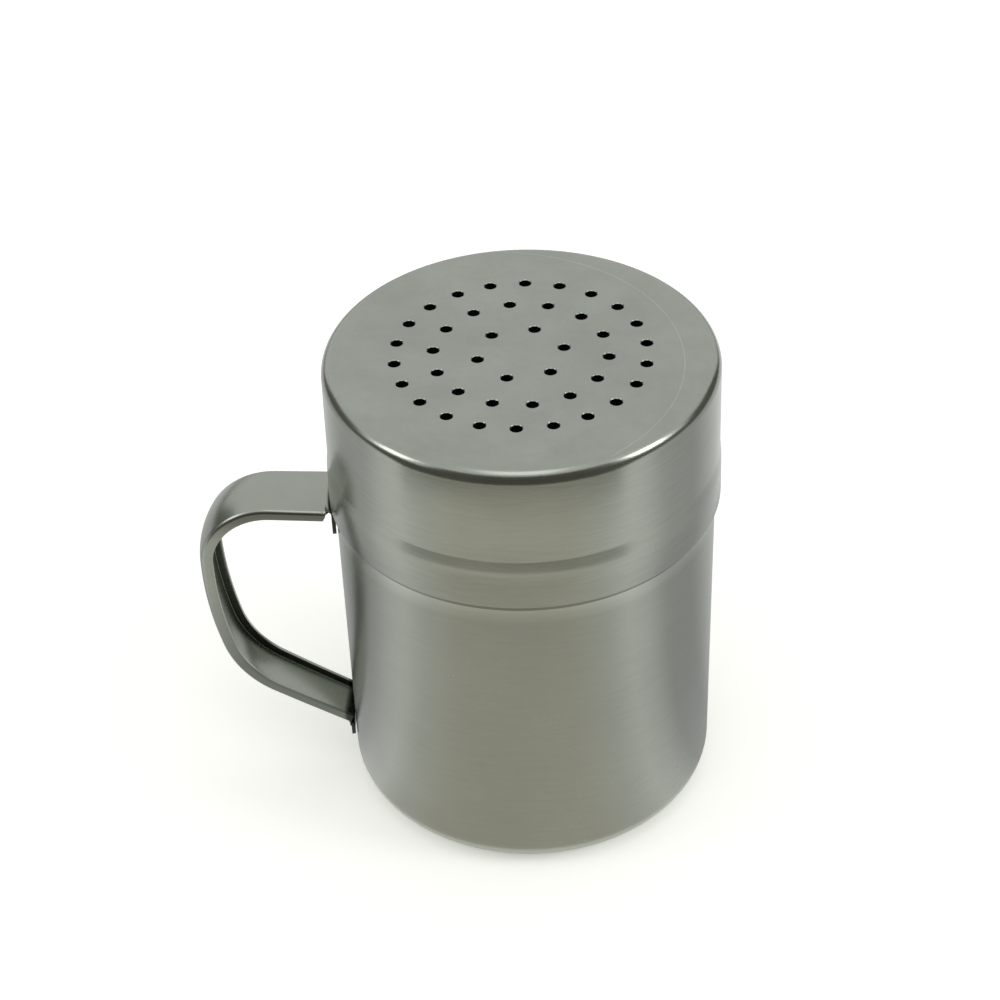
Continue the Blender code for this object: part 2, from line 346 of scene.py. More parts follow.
def sheet_mesh(name, rows):
    """A mesh of four-sided faces between rows of points."""
    bm = bmesh.new()
    rows = [[bm.verts.new(point) for point in row] for row in rows]
    for row, after in zip(rows, rows[1:]):
        for i in range(len(row) - 1):
            bm.faces.new((row[i], row[i + 1], after[i + 1], after[i]))
    mesh = bpy.data.meshes.new(name)
    bm.to_mesh(mesh)
    bm.free()
    return mesh


def profile_object(name, profile):
    """An object that holds an open profile as edges in the XZ plane."""
    mesh = bpy.data.meshes.new(name)
    edges = [(i, i + 1) for i in range(len(profile) - 1)]
    mesh.from_pydata([(radius, 0, height) for radius, height in profile], edges, [])
    return add_object(name, mesh)


def plain_mesh(obj):
    """Takes the evaluated mesh into a plain one and drops the modifiers."""
    bpy.context.view_layer.update()
    evaluated = obj.evaluated_get(bpy.context.evaluated_depsgraph_get())
    mesh = bpy.data.meshes.new_from_object(evaluated)
    mesh.name = obj.name
    obj.modifiers.clear()
    obj.data = mesh


def shade(obj):
    """Shades smooth, apart from the sharp edges."""
    obj.data.shade_smooth()
    obj.data.set_sharp_from_angle(angle=SMOOTH_ANGLE)


def socket_values(obj, tree, values):
    """Adds a Geometry Nodes modifier and sets its inputs by their identifiers."""
    modifier = obj.modifiers.new(tree.name, "NODES")
    modifier.node_group = tree
    for item in tree.interface.items_tree:
        if item.name in values:
            modifier[item.identifier] = values[item.name]


def new_tree(name, sockets, result):
    """An empty Geometry Nodes tree with its named inputs, given by kind, and its named result."""
    tree = bpy.data.node_groups.new(name, "GeometryNodeTree")
    for kind, names in sockets:
        for socket in names:
            tree.interface.new_socket(socket, in_out="INPUT", socket_type="NodeSocket" + kind)
    tree.interface.new_socket(result, in_out="OUTPUT", socket_type="NodeSocketGeometry")
    return tree


def end_tree(tree, geometry, steel):
    """Ends a tree: its instances are made real, and the result gets its material."""
    real = add_node(tree, "GeometryNodeRealizeInstances", {0: geometry}).outputs[0]
    finished = add_node(tree, "GeometryNodeSetMaterial", {"Geometry": real, "Material": steel})
    add_node(tree, "NodeGroupOutput", {0: finished.outputs[0]})
    return tree


def turning_tree():
    """Geometry Nodes tree that turns a profile about Z and closes the flat disc at each of its ends.

    A grid has one column for each step of the turn and one row for each point of the profile.
    """
    sockets = (("Geometry", ("Profile",)), ("Int", ("Steps",)), ("Material", ("Steel",)))
    tree = new_tree("turned_sheet", sockets, "Sheet")
    given = add_node(tree, "NodeGroupInput").outputs
    count = add_node(tree, "GeometryNodeAttributeDomainSize", {0: given["Profile"]}).outputs["Point Count"]
    columns = add_node(tree, "ShaderNodeMath", {0: given["Steps"], 1: 1}, operation="ADD").outputs[0]
    size = {"Size X": 1.0, "Size Y": 1.0, "Vertices X": columns, "Vertices Y": count}
    grid = add_node(tree, "GeometryNodeMeshGrid", size)
    index = add_node(tree, "GeometryNodeInputIndex").outputs[0]
    place = add_node(tree, "ShaderNodeMath", {0: index, 1: count}, operation="DIVIDE").outputs[0]
    column = add_node(tree, "ShaderNodeMath", {0: place}, operation="FLOOR").outputs[0]
    row = add_node(tree, "ShaderNodeMath", {0: index, 1: count}, operation="FLOORED_MODULO").outputs[0]
    full = add_node(tree, "ShaderNodeMath", {0: math.tau, 1: given["Steps"]}, operation="DIVIDE").outputs[0]
    turn = add_node(tree, "ShaderNodeMath", {0: column, 1: full}, operation="MULTIPLY").outputs[0]
    position = add_node(tree, "GeometryNodeInputPosition").outputs[0]
    sampled = add_node(
        tree,
        "GeometryNodeSampleIndex",
        {"Geometry": given["Profile"], "Value": position, "Index": row},
        data_type="FLOAT_VECTOR",
    ).outputs[0]
    turned = add_node(
        tree, "ShaderNodeVectorRotate", {"Vector": sampled, "Angle": turn}, rotation_type="Z_AXIS"
    ).outputs[0]
    wall = add_node(tree, "GeometryNodeSetPosition", {"Geometry": grid.outputs[0], "Position": turned})
    parts = add_node(tree, "GeometryNodeJoinGeometry")
    tree.links.new(wall.outputs[0], parts.inputs[0])
    last = add_node(tree, "ShaderNodeMath", {0: count, 1: 1}, operation="SUBTRACT").outputs[0]
    for place, flip in ((0, True), (last, False)):
        point = {"Geometry": given["Profile"], "Value": position, "Index": place}
        end = add_node(tree, "GeometryNodeSampleIndex", point, data_type="FLOAT_VECTOR").outputs[0]
        split = add_node(tree, "ShaderNodeSeparateXYZ", {0: end}).outputs
        size = {"Vertices": given["Steps"], "Radius": split["X"]}
        disc = add_node(tree, "GeometryNodeMeshCircle", size, fill_type="NGON").outputs[0]
        height = add_node(tree, "ShaderNodeCombineXYZ", {"Z": split["Z"]}).outputs[0]
        disc = add_node(tree, "GeometryNodeTransform", {"Geometry": disc, "Translation": height}).outputs[0]
        if flip:
            disc = add_node(tree, "GeometryNodeFlipFaces", {0: disc}).outputs[0]
        tree.links.new(disc, parts.inputs[0])
    near = {"Geometry": parts.outputs[0], "Distance": MERGE_DISTANCE}
    merged = add_node(tree, "GeometryNodeMergeByDistance", near).outputs[0]
    return end_tree(tree, merged, given["Steel"])


def punching_tree():
    """Geometry Nodes tree that punches three rings of holes through a flat top.

    The punch is a cylinder that widens from just below the surface, which leaves the rolled edge.
    """
    sizes = ["Top Height", "Punch Reach", "Hole Radius", "Punch Roll"]
    sizes += [ring + size for ring in RINGS for size in (" Radius", " Turn")]
    counts = ["Punch Sides"] + [ring + " Count" for ring in RINGS]
    sockets = (("Geometry", ("Sheet",)), ("Float", sizes), ("Int", counts), ("Material", ("Steel",)))
    tree = new_tree("punched_rings", sockets, "Lid")
    given = add_node(tree, "NodeGroupInput").outputs
    reach = given["Punch Reach"]
    radius = given["Hole Radius"]
    depth = add_node(tree, "ShaderNodeMath", {0: reach, 1: 2}, operation="MULTIPLY").outputs[0]
    punch = add_node(
        tree,
        "GeometryNodeMeshCylinder",
        {"Vertices": given["Punch Sides"], "Side Segments": 2, "Radius": radius, "Depth": depth},
    ).outputs["Mesh"]
    position = add_node(tree, "GeometryNodeInputPosition").outputs[0]
    height = add_node(tree, "ShaderNodeSeparateXYZ", {0: position}).outputs["Z"]
    above = add_node(tree, "ShaderNodeMath", {0: height, 1: 0}, operation="MAXIMUM").outputs[0]
    slope = add_node(tree, "ShaderNodeMath", {0: above, 1: radius}, operation="DIVIDE").outputs[0]
    widen = add_node(tree, "ShaderNodeMath", {0: slope, 1: 1}, operation="ADD").outputs[0]
    spread = add_node(tree, "ShaderNodeCombineXYZ", {"X": widen, "Y": widen, "Z": 1}).outputs[0]
    wide = add_node(tree, "ShaderNodeVectorMath", {0: position, 1: spread}, operation="MULTIPLY").outputs[0]
    sink = add_node(tree, "ShaderNodeCombineXYZ", {"Z": given["Punch Roll"]}).outputs[0]
    low = add_node(tree, "ShaderNodeVectorMath", {0: wide, 1: sink}, operation="SUBTRACT").outputs[0]
    punch = add_node(tree, "GeometryNodeSetPosition", {"Geometry": punch, "Position": low}).outputs[0]
    rings = add_node(tree, "GeometryNodeJoinGeometry")
    for ring in RINGS:
        size = {"Vertices": given[ring + " Count"], "Radius": given[ring + " Radius"]}
        circle = add_node(tree, "GeometryNodeMeshCircle", size).outputs[0]
        height = add_node(tree, "ShaderNodeCombineXYZ", {"Z": given["Top Height"]}).outputs[0]
        turn = add_node(tree, "ShaderNodeCombineXYZ", {"Z": given[ring + " Turn"]}).outputs[0]
        place = {"Geometry": circle, "Translation": height, "Rotation": turn}
        placed = add_node(tree, "GeometryNodeTransform", place).outputs[0]
        punches = add_node(tree, "GeometryNodeInstanceOnPoints", {"Points": placed, "Instance": punch})
        tree.links.new(punches.outputs[0], rings.inputs[0])
    cutters = add_node(tree, "GeometryNodeRealizeInstances", {0: rings.outputs[0]}).outputs[0]
    meshes = {"Mesh 1": given["Sheet"], "Mesh 2": cutters}
    cut = add_node(tree, "GeometryNodeMeshBoolean", meshes, operation="DIFFERENCE", solver="EXACT")
    return end_tree(tree, cut.outputs["Mesh"], given["Steel"])


def satin_steel(name, steel, roughness, brushed, streaks):
    """Stainless steel with a satin grain: smudges, a fine grain and brush lines.

    The brush lines run level round the walls: their noise is squeezed along Z, so on a flat top it
    only leaves broad soft patches. The streaks' value is the contrast of the lines in the colour.
    """
    material = bpy.data.materials.new(name)
    material.use_nodes = True
    tree = material.node_tree
    shader = tree.nodes["Principled BSDF"]
    shader.inputs["Metallic"].default_value = 1.0
    shader.inputs["Anisotropic"].default_value = brushed
    shader.inputs["Anisotropic Rotation"].default_value = BRUSH_TURN
    place = add_node(tree, "ShaderNodeTexCoord").outputs["Object"]
    if brushed:
        tangent = add_node(tree, "ShaderNodeTangent", direction_type="RADIAL", axis="Z")
        tree.links.new(tangent.outputs[0], shader.inputs["Tangent"])

    per_line = (1 / BRUSH_LENGTH, 1 / BRUSH_LENGTH, 1 / BRUSH_HEIGHT)
    squeezed = add_node(tree, "ShaderNodeMapping", {"Vector": place, "Scale": per_line}).outputs[0]
    noises = []
    for vector, scale, detail, roughening in (
        (squeezed, 1.0, 4.0, 0.7),
        (place, 1 / GRAIN_SIZE, 2.0, 0.6),
        (place, 1 / SMUDGE_SIZE, 3.0, 0.55),
        (place, 1 / DENT_SIZE, 1.0, 0.4),
    ):
        noise = {"Vector": vector, "Scale": scale, "Detail": detail, "Roughness": roughening}
        noises.append(add_node(tree, "ShaderNodeTexNoise", noise).outputs[0])
    lines, grain, smudge, dents = noises

    (low, high), (less, more) = SMUDGE_SPAN, SMUDGE_ROUGHNESS
    uneven = {0: smudge, 1: low, 2: high, 3: roughness + less, 4: roughness + more}
    rough = add_node(tree, "ShaderNodeMapRange", uneven).outputs[0]
    uneven = {0: lines, 1: LINE_ROUGHNESS, 2: rough}
    rough = add_node(tree, "ShaderNodeMath", uneven, operation="MULTIPLY_ADD").outputs[0]
    tree.links.new(rough, shader.inputs["Roughness"])

    (low, high), (dim, bright) = TONE_SPAN, SMUDGE_TONES
    patch = {0: smudge, 1: low, 2: high, 3: dim, 4: bright}
    patch = add_node(tree, "ShaderNodeMapRange", patch).outputs[0]
    streak = {0: lines, 1: low, 2: high, 3: 1 - streaks, 4: 1 + streaks}
    streak = add_node(tree, "ShaderNodeMapRange", streak).outputs[0]
    tone = add_node(tree, "ShaderNodeMath", {0: patch, 1: streak}, operation="MULTIPLY").outputs[0]
    mixed = add_node(
        tree, "ShaderNodeVectorMath", {0: steel, "Scale": tone}, operation="SCALE"
    ).outputs[0]
    tree.links.new(mixed, shader.inputs["Base Color"])

    under = {}
    for pattern, depth in ((dents, DENT_DEPTH), (lines, BRUSH_DEPTH), (grain, GRAIN_DEPTH)):
        bump = {"Strength": 1.0, "Distance": depth, "Height": pattern, **under}
        under = {"Normal": add_node(tree, "ShaderNodeBump", bump).outputs[0]}
    tree.links.new(under["Normal"], shader.inputs["Normal"])
    return material


def tint(material, factor):
    """Multiplies the steel's colour by a socket of its tree."""
    tree = material.node_tree
    target = tree.nodes["Principled BSDF"].inputs["Base Color"]
    colour = target.links[0].from_socket
    scaled = add_node(tree, "ShaderNodeVectorMath", {0: colour, "Scale": factor}, operation="SCALE")
    tree.links.new(scaled.outputs[0], target)


def paint_lid_edge_light_and_shade(material, edge_height):
    """Painted light and shade on the cup at the lid's edge: a painted highlight band below it, and a
    painted shade line along that edge.

    Above the edge, where the lid hides the wall, its plain tone comes back.
    """
    tree = material.node_tree
    place = add_node(tree, "ShaderNodeTexCoord").outputs["Object"]
    height = add_node(tree, "ShaderNodeSeparateXYZ", {0: place}).outputs["Z"]
    line_low = edge_height - PAINTED_SHADE_LINE
    # Painted highlight band, painted shade line, then the plain tone again under the lid
    painted_bands = (
        (edge_height - PAINTED_LIGHT_BAND, line_low, PAINTED_LIGHT_TONE),
        (line_low - LINE_BLUR, line_low, PAINTED_SHADE_TONE),
        (edge_height, edge_height + LINE_BLUR, 1 / (PAINTED_LIGHT_TONE * PAINTED_SHADE_TONE)),
    )
    for low, high, tone in painted_bands:
        tones = {0: height, 1: low, 2: high, 3: 1.0, 4: tone}
        tint(material, add_node(tree, "ShaderNodeMapRange", tones).outputs[0])


def long_scratch(material, lid):
    """The long curved scratch across the lid's top: a thin light line on a circle beside the axis."""
    tree = material.node_tree
    place = add_node(tree, "ShaderNodeTexCoord").outputs["Object"]
    centre = (*lid.scratch_centre, lid.height)
    away = add_node(tree, "ShaderNodeVectorMath", {0: place, 1: centre}, operation="DISTANCE")
    past = {0: away.outputs["Value"], 1: lid.scratch_radius}
    off = add_node(tree, "ShaderNodeMath", past, operation="SUBTRACT").outputs[0]
    near = add_node(tree, "ShaderNodeMath", {0: off}, operation="ABSOLUTE").outputs[0]
    width = {0: near, 1: 0.0, 2: lid.scratch_width, 3: 1.0, 4: 0.0}
    line = add_node(tree, "ShaderNodeMapRange", width).outputs[0]
    height = add_node(tree, "ShaderNodeSeparateXYZ", {0: place}).outputs["Z"]
    top = {0: height, 1: lid.height - lid.sheet / 2}
    on_top = add_node(tree, "ShaderNodeMath", top, operation="GREATER_THAN").outputs[0]
    shown = add_node(tree, "ShaderNodeMath", {0: line, 1: on_top}, operation="MULTIPLY").outputs[0]
    tint(material, add_node(tree, "ShaderNodeMapRange", {0: shown, 3: 1.0, 4: SCRATCH_TONE}).outputs[0])


def handle_shade(material, handle, root_radius):
    """Painted shade on the handle: in its channel, at its weld tabs on top of their heat tint, and on its
    upright edges.
    """
    tree = material.node_tree
    # Painted shade in the channel, from its ambient occlusion
    shut, clear = CHANNEL_OPENNESS
    reach = {"Distance": 2 * handle.grip_depth}
    openness = add_node(tree, "ShaderNodeAmbientOcclusion", reach, only_local=True, samples=8)
    channel = {0: openness.outputs["AO"], 1: shut, 2: clear, 3: CHANNEL_SHADE_TONE, 4: 1.0}
    tint(material, add_node(tree, "ShaderNodeMapRange", channel).outputs[0])

    # Weld tabs: heat tint plus painted shade between each tab and the cup's wall
    place = add_node(tree, "ShaderNodeTexCoord").outputs["Object"]
    level = add_node(tree, "ShaderNodeVectorMath", {0: place, 1: (1, 1, 0)}, operation="MULTIPLY")
    radius = add_node(tree, "ShaderNodeVectorMath", {0: level.outputs[0]}, operation="LENGTH")
    weld = {0: radius.outputs["Value"], 1: root_radius, 2: root_radius + handle.sheet, 3: WELD_TINT_AND_SHADE_TONE, 4: 1.0}
    tint(material, add_node(tree, "ShaderNodeMapRange", weld).outputs[0])

    # Painted shade on the upright edges of the strap and the foot
    normal = add_node(tree, "ShaderNodeNewGeometry").outputs["Normal"]
    sideways = add_node(tree, "ShaderNodeSeparateXYZ", {0: normal}).outputs["Y"]
    steep = add_node(tree, "ShaderNodeMath", {0: sideways}, operation="ABSOLUTE").outputs[0]
    height = add_node(tree, "ShaderNodeSeparateXYZ", {0: place}).outputs["Z"]
    strap = {0: height, 1: STRAP_HEIGHTS[0], 2: STRAP_HEIGHTS[1], 3: 1.0, 4: EDGE_SHADE_TONE}
    strap = add_node(tree, "ShaderNodeMapRange", strap).outputs[0]
    foot = {0: height, 1: FOOT_HEIGHTS[0], 2: FOOT_HEIGHTS[1], 3: EDGE_SHADE_TONE, 4: 1.0}
    foot = add_node(tree, "ShaderNodeMapRange", foot).outputs[0]
    both = add_node(tree, "ShaderNodeMath", {0: strap, 1: foot}, operation="MULTIPLY").outputs[0]
    edge = {0: steep, 1: UPRIGHT[0], 2: UPRIGHT[1], 3: 1.0, 4: both}
    tint(material, add_node(tree, "ShaderNodeMapRange", edge).outputs[0])


def step_profile(lid, top_radius):
    """The skirt's step: a bevel that starts at a sharp turn and runs out softly into the lower band."""
    bevel = STEP_BEVEL_SHARE
    points = []
    for i in range(STEP_STEPS + 1):
        part = i / STEP_STEPS
        past = max(part - bevel, 0) / (1 - bevel)
        straight = min(part, bevel) + (1 - bevel) * (past - past**2 / 2)
        radius = top_radius + lid.step_out * straight / ((1 + bevel) / 2)
        radius += lid.flare * part * lid.step_height / (lid.height - lid.step_drop - lid.edge_height)
        points.append((radius, lid.height - lid.step_drop - lid.step_height * part))
    return points


class ShakerLidOperator(Operator):
    """Builds the pierced push-on lid"""

    bl_idname = "shaker.lid"
    bl_label = "Lid"

    def execute(self, context):
        lid = context.scene.shaker_lid
        # Satin stainless, scuffed by use: soft patches on the top, and level streaks on the skirt
        finish = {"roughness": 0.19, "brushed": 0.0, "streaks": 0.04}
        steel = satin_steel("scuffed_satin_stainless", lid.steel, **finish)
        long_scratch(steel, lid)
        upper_radius = lid.skirt_radius - lid.step_out - lid.flare
        corner = (upper_radius - lid.top_fillet, lid.height - lid.top_fillet)
        edge = lid.sheet / 2
        edge_centre = (lid.skirt_radius - edge, lid.edge_height + edge)
        inner_fillet = lid.top_fillet - lid.sheet
        margin = lid.sheet
        outside = [(corner[0] - margin, lid.height)]
        outside += arc(corner, lid.top_fillet, math.pi / 2, 0, FILLET_STEPS)
        outside.append((upper_radius, lid.height - lid.step_drop + STEP_SUPPORT))
        outside += step_profile(lid, upper_radius)
        hem = arc(edge_centre, edge, 0, -math.pi, EDGE_STEPS)
        inside = step_profile(lid, upper_radius - lid.sheet)[::-1]
        inside += arc(corner, inner_fillet, 0, math.pi / 2, FILLET_STEPS)
        inside.append((corner[0] - margin, lid.height - lid.sheet))
        body = profile_object("pierced_lid", outside + hem + inside)
        socket_values(body, turning_tree(), {"Steps": TURN_STEPS, "Steel": steel})
        punching = {
            "Top Height": lid.height,
            "Punch Reach": 2 * lid.sheet,
            "Hole Radius": lid.hole_radius,
            "Punch Roll": lid.punch_roll,
            "Punch Sides": PUNCH_SIDES,
            "Steel": steel,
        }
        for ring in RINGS:
            punching[ring + " Radius"] = getattr(lid, ring.lower() + "_ring")
            punching[ring + " Turn"] = getattr(lid, ring.lower() + "_turn")
            punching[ring + " Count"] = getattr(lid, ring.lower() + "_count")
        socket_values(body, punching_tree(), punching)
        plain_mesh(body)
        shade(body)
        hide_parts("lid")
        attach(body, "lid_body")
        return {"FINISHED"}


def seat_profile(cup, lid):
    """The wall just below the lid's edge, where it swells a little to stop the lid."""
    points = []
    for i in range(SEAT_STEPS + 1):
        part = i / SEAT_STEPS
        drop = cup.seat_height * (1 - part)
        swell = cup.seat_swell * (1 - math.cos(math.pi * part)) / 2
        wall = cup.rim_radius - cup.draft * drop / (lid.edge_height - cup.base_fillet)
        points.append((wall + swell, lid.edge_height - drop))
    points.append((cup.rim_radius, lid.edge_height + cup.seat_height / 2))
    return points


class ShakerCupOperator(Operator):
    """Builds the drawn cup"""

    bl_idname = "shaker.cup"
    bl_label = "Cup"

    def execute(self, context):
        cup = context.scene.shaker_cup
        lid = context.scene.shaker_lid
        # Drawn stainless, brushed round the wall: reflections stretch up and down into soft bands
        finish = {"roughness": 0.22, "brushed": 0.6, "streaks": 0.025}
        steel = satin_steel("drawn_satin_stainless", cup.steel, **finish)
        # Painted highlight and painted shade on the wall just below the lid's edge
        paint_lid_edge_light_and_shade(steel, lid.edge_height)
        base_radius = cup.rim_radius - cup.draft
        fillet_centre = (base_radius - cup.base_fillet, cup.base_fillet)
        rim = cup.sheet / 2
        rim_centre = (cup.rim_radius - rim, cup.rim_height - rim)
        outside = [(fillet_centre[0] - cup.sheet, 0)]
        outside += arc(fillet_centre, cup.base_fillet, -math.pi / 2, 0, FILLET_STEPS)
        outside += seat_profile(cup, lid)
        edge = arc(rim_centre, rim, 0, math.pi, EDGE_STEPS)
        inside = [(cup.rim_radius - cup.sheet, lid.edge_height)]
        inside += arc(fillet_centre, cup.base_fillet - cup.sheet, 0, -math.pi / 2, FILLET_STEPS)
        inside.append((fillet_centre[0] - cup.sheet, cup.sheet))
        body = profile_object("drawn_cup", outside + edge + inside)
        socket_values(body, turning_tree(), {"Steps": TURN_STEPS, "Steel": steel})
        plain_mesh(body)
        shade(body)
        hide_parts("cup")
        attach(body, "cup_body")
        return {"FINISHED"}


def ahead(heading):
    return Vector((math.cos(heading), math.sin(heading)))


def right_of(heading):
    return Vector((math.sin(heading), -math.cos(heading)))


def clockwise(start, end):
    """The step from start to end of a clockwise arc of unit radius between two headings."""
    return right_of(start) - right_of(end)


class Strip:
    """The handle's strip: its path beside the cup and its section, worked out from the sizes."""

    def __init__(self, handle, cup, lid):
        self.handle = handle
        self.lid_edge = lid.edge_height
        self.cup_radius = cup.rim_radius
        self.lean = math.atan2(cup.draft, lid.edge_height - cup.base_fillet)

    def wall_radius(self, height):
        return self.cup_radius - max(self.lid_edge - height, 0) * math.tan(self.lean)

    def stations(self):
        """Stations of the outer face in the R, Z plane, from the upper tab to the lower one.

        Each is (point, heading, zone), and a run is (zone, length or radius, turn, steps). The
        heading turns clockwise round the loop, so the sheet lies to the right. The lower arm's
        length and the grip's long radius are the two values that make the loop end on the lower tab.
        """
        handle = self.handle
        rise = handle.top_rise
        top_end = rise - handle.top_turn
        grip_end = top_end - handle.grip_turn
        arm = grip_end - handle.foot_turn
        up_wall = math.pi / 2 - self.lean
        down_wall = up_wall - math.pi
        strap_height = self.lid_edge - handle.lid_gap
        upper_root = Vector((self.wall_radius(strap_height) + handle.tab_gap, strap_height))
        upper_bend = handle.tab_bend + handle.sheet
        upper_trim = upper_bend * math.tan((up_wall - rise) / 2)
        lower_face = self.wall_radius(handle.foot_height) + handle.tab_gap + handle.sheet
        lower_root = Vector((lower_face, handle.foot_height))
        lower_trim = handle.tab_bend * math.tan((down_wall - arm) / 2)
        start = upper_root + ahead(rise) * (upper_trim + handle.top_run)
        gap = lower_root - start
        gap -= clockwise(rise, top_end) * handle.top_bend
        gap -= clockwise(grip_end, arm) * handle.foot_bend
        grip_step = clockwise(top_end, grip_end)
        arm_step = ahead(arm)
        cross = grip_step.x * arm_step.y - grip_step.y * arm_step.x
        grip_radius = (gap.x * arm_step.y - gap.y * arm_step.x) / cross
        arm_length = (grip_step.x * gap.y - grip_step.y * gap.x) / cross
        runs = (
            ("tab", handle.upper_tab, 0, 18),
            ("bend", upper_bend, up_wall - rise, 12),
            ("strap", handle.runout, 0, 4),
            ("strap", handle.top_run - handle.runout, 0, 24),
            ("strap", handle.top_bend, handle.top_turn, 40),
            ("strap", grip_radius, handle.grip_turn, 24),
            ("strap", handle.foot_bend, handle.foot_turn, 28),
            ("strap", arm_length - lower_trim - handle.runout, 0, 30),
            ("strap", handle.runout, 0, 4),
            ("bend", handle.tab_bend, arm - down_wall, 12),
            ("tab", handle.lower_tab, 0, 12),
        )
        heading = up_wall
        point = upper_root - ahead(up_wall) * (upper_trim + handle.upper_tab)
        found = [(point.copy(), heading, "tab")]
        for zone, size, turn, steps in runs:
            for _ in range(steps):
                if turn:
                    step = abs(turn) / steps
                    heading -= turn / steps / 2
                    point = point + ahead(heading) * (2 * size * math.sin(step / 2))
                    heading -= turn / steps / 2
                else:
                    point = point + ahead(heading) * (size / steps)
                found.append((point.copy(), heading, zone))
        return found

    def turned_depth(self, part):
        """Depth of the turned-in edges along the loop: shallow at both ends and deepest in the grip."""
        deeper = self.handle.grip_depth - self.handle.end_depth
        return self.handle.end_depth + deeper * math.sin(math.pi * part) ** 2

    def section_point(self, along, half_web, start):
        """Half of the strip's section, flattened length in, (sideways, depth) out."""
        handle = self.handle
        if along <= half_web:
            return along, handle.crown * (along / half_web) ** 2
        turn = min(start + (along - half_web) / handle.corner, math.pi / 2)
        lip = max(along - half_web - handle.corner * (math.pi / 2 - start), 0)
        sideways = half_web + handle.corner * (math.sin(turn) - math.sin(start))
        return sideways, handle.crown + handle.corner * (math.cos(start) - math.cos(turn)) + lip

    def rows(self):
        """World points of the outer face: one row across it for each station."""
        handle = self.handle
        stations = self.stations()
        lengths = [0]
        for (before, _, _), (after, _, _) in zip(stations, stations[1:]):
            lengths.append(lengths[-1] + (after - before).length)
        total = lengths[-1]
        strap = [s for s, (_, _, zone) in zip(lengths, stations) if zone == "strap"]
        flats = [(i / WEB_STEPS, 0, 0) for i in range(WEB_STEPS + 1)]
        flats += [(1, i / CORNER_STEPS, 0) for i in range(1, CORNER_STEPS + 1)]
        flats += [(1, 1, 0.5), (1, 1, 1)]
        rows = []
        for s, (point, heading, _) in zip(lengths, stations):
            width = handle.top_width + (handle.foot_width - handle.top_width) * s / total
            start = math.atan2(4 * handle.crown, width)
            half_web = width / 2 - handle.corner * (1 - math.sin(start))
            edge = self.turned_depth(s / total) - handle.crown - handle.corner * math.cos(start)
            bend = handle.corner * (math.pi / 2 - start)
            tab_reach = half_web + handle.corner * math.sin(math.pi / 4)
            full_reach = half_web + bend + edge
            inland = max(min(s - strap[0], strap[-1] - s), 0)
            channel = min(inland / handle.runout, 1)
            hug = max(1 - inland / handle.top_run, 0)
            reach = tab_reach + (full_reach - tab_reach) * channel
            from_end = min(s, total - s)
            if from_end < handle.tab_corner:
                left = handle.tab_corner - from_end
                reach -= handle.tab_corner - math.sqrt(handle.tab_corner**2 - left**2)
            half = []
            for web, corner, lip in flats:
                flat = web * half_web + corner * bend + lip * edge
                sideways, depth = self.section_point(flat * reach / full_reach, half_web, start)
                sag = point.x - math.sqrt(point.x**2 - sideways**2)
                inward = right_of(heading) * (depth * channel)
                half.append((point.x + inward.x - sag * hug, sideways, point.y + inward.y))
            near = [Vector((-r, -side, z)) for r, side, z in reversed(half[1:])]
            far = [Vector((-r, side, z)) for r, side, z in half]
            rows.append(near + far)
        return rows

    def weld_places(self):
        """The middles of the dents that the welding tips leave, two on each tab."""
        handle = self.handle
        stations = self.stations()
        upper = stations[0][0] + ahead(stations[0][1]) * (handle.upper_tab / 2)
        upper += right_of(stations[0][1]) * handle.sheet
        lower = stations[-1][0] - ahead(stations[-1][1]) * (handle.lower_tab / 2)
        places = []
        for place, width in ((upper, handle.top_width), (lower, handle.foot_width)):
            for side in (-0.5, 0.5):
                sideways = side * width * handle.weld_spacing
                places.append(Vector((-math.sqrt(place.x**2 - sideways**2), sideways, place.y)))
        return places


class ShakerHandleOperator(Operator):
    """Builds the loop handle with its weld tabs"""

    bl_idname = "shaker.handle"
    bl_label = "Handle"

    def execute(self, context):
        handle = context.scene.shaker_handle
        strip = Strip(handle, context.scene.shaker_cup, context.scene.shaker_lid)
        mesh = sheet_mesh("loop_handle", strip.rows())
        # Pressed strip with its mill finish: an even, duller satin
        finish = {"roughness": 0.25, "brushed": 0.0, "streaks": 0.02}
        steel = satin_steel("pressed_satin_stainless", handle.steel, **finish)
        # Painted shade in the channel, at the weld tabs and on the upright edges
        handle_shade(steel, handle, context.scene.shaker_cup.rim_radius + handle.tab_gap + handle.sheet)
        mesh.materials.append(steel)
        body = add_object("loop_handle", mesh)
        wall = body.modifiers.new("sheet", "SOLIDIFY")
        wall.thickness = handle.sheet
        wall.offset = -1
        wall.use_even_offset = True
        rounding = body.modifiers.new("edge_break", "BEVEL")
        rounding.width = handle.edge_break
        rounding.segments = 2
        rounding.limit_method = "ANGLE"
        rounding.angle_limit = BREAK_ANGLE
        plain_mesh(body)
        self.press_weld_marks(body, strip.weld_places())
        shade(body)
        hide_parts("handle")
        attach(body, "cup_body")
        return {"FINISHED"}

    def press_weld_marks(self, body, places):
        """Pushes the open face of each tab in by a smooth round dent at each place."""
        handle = bpy.context.scene.shaker_handle
        for vertex in body.data.vertices:
            for place in places:
                away = vertex.co - place
                flat = Vector((0, away.y, away.z)).length / handle.weld_radius
                if vertex.normal.x < -0.5 and flat < 1 and abs(away.x) < handle.sheet / 2:
                    vertex.co.x += handle.weld_depth * math.cos(flat * math.pi / 2) ** 2


def between(stops, place):
    """The value at a place in a table of (place, value) stops."""
    for (before, low), (after, high) in zip(stops, stops[1:]):
        if place <= after:
            return low + (high - low) * (place - before) / (after - before)
    return stops[-1][1]


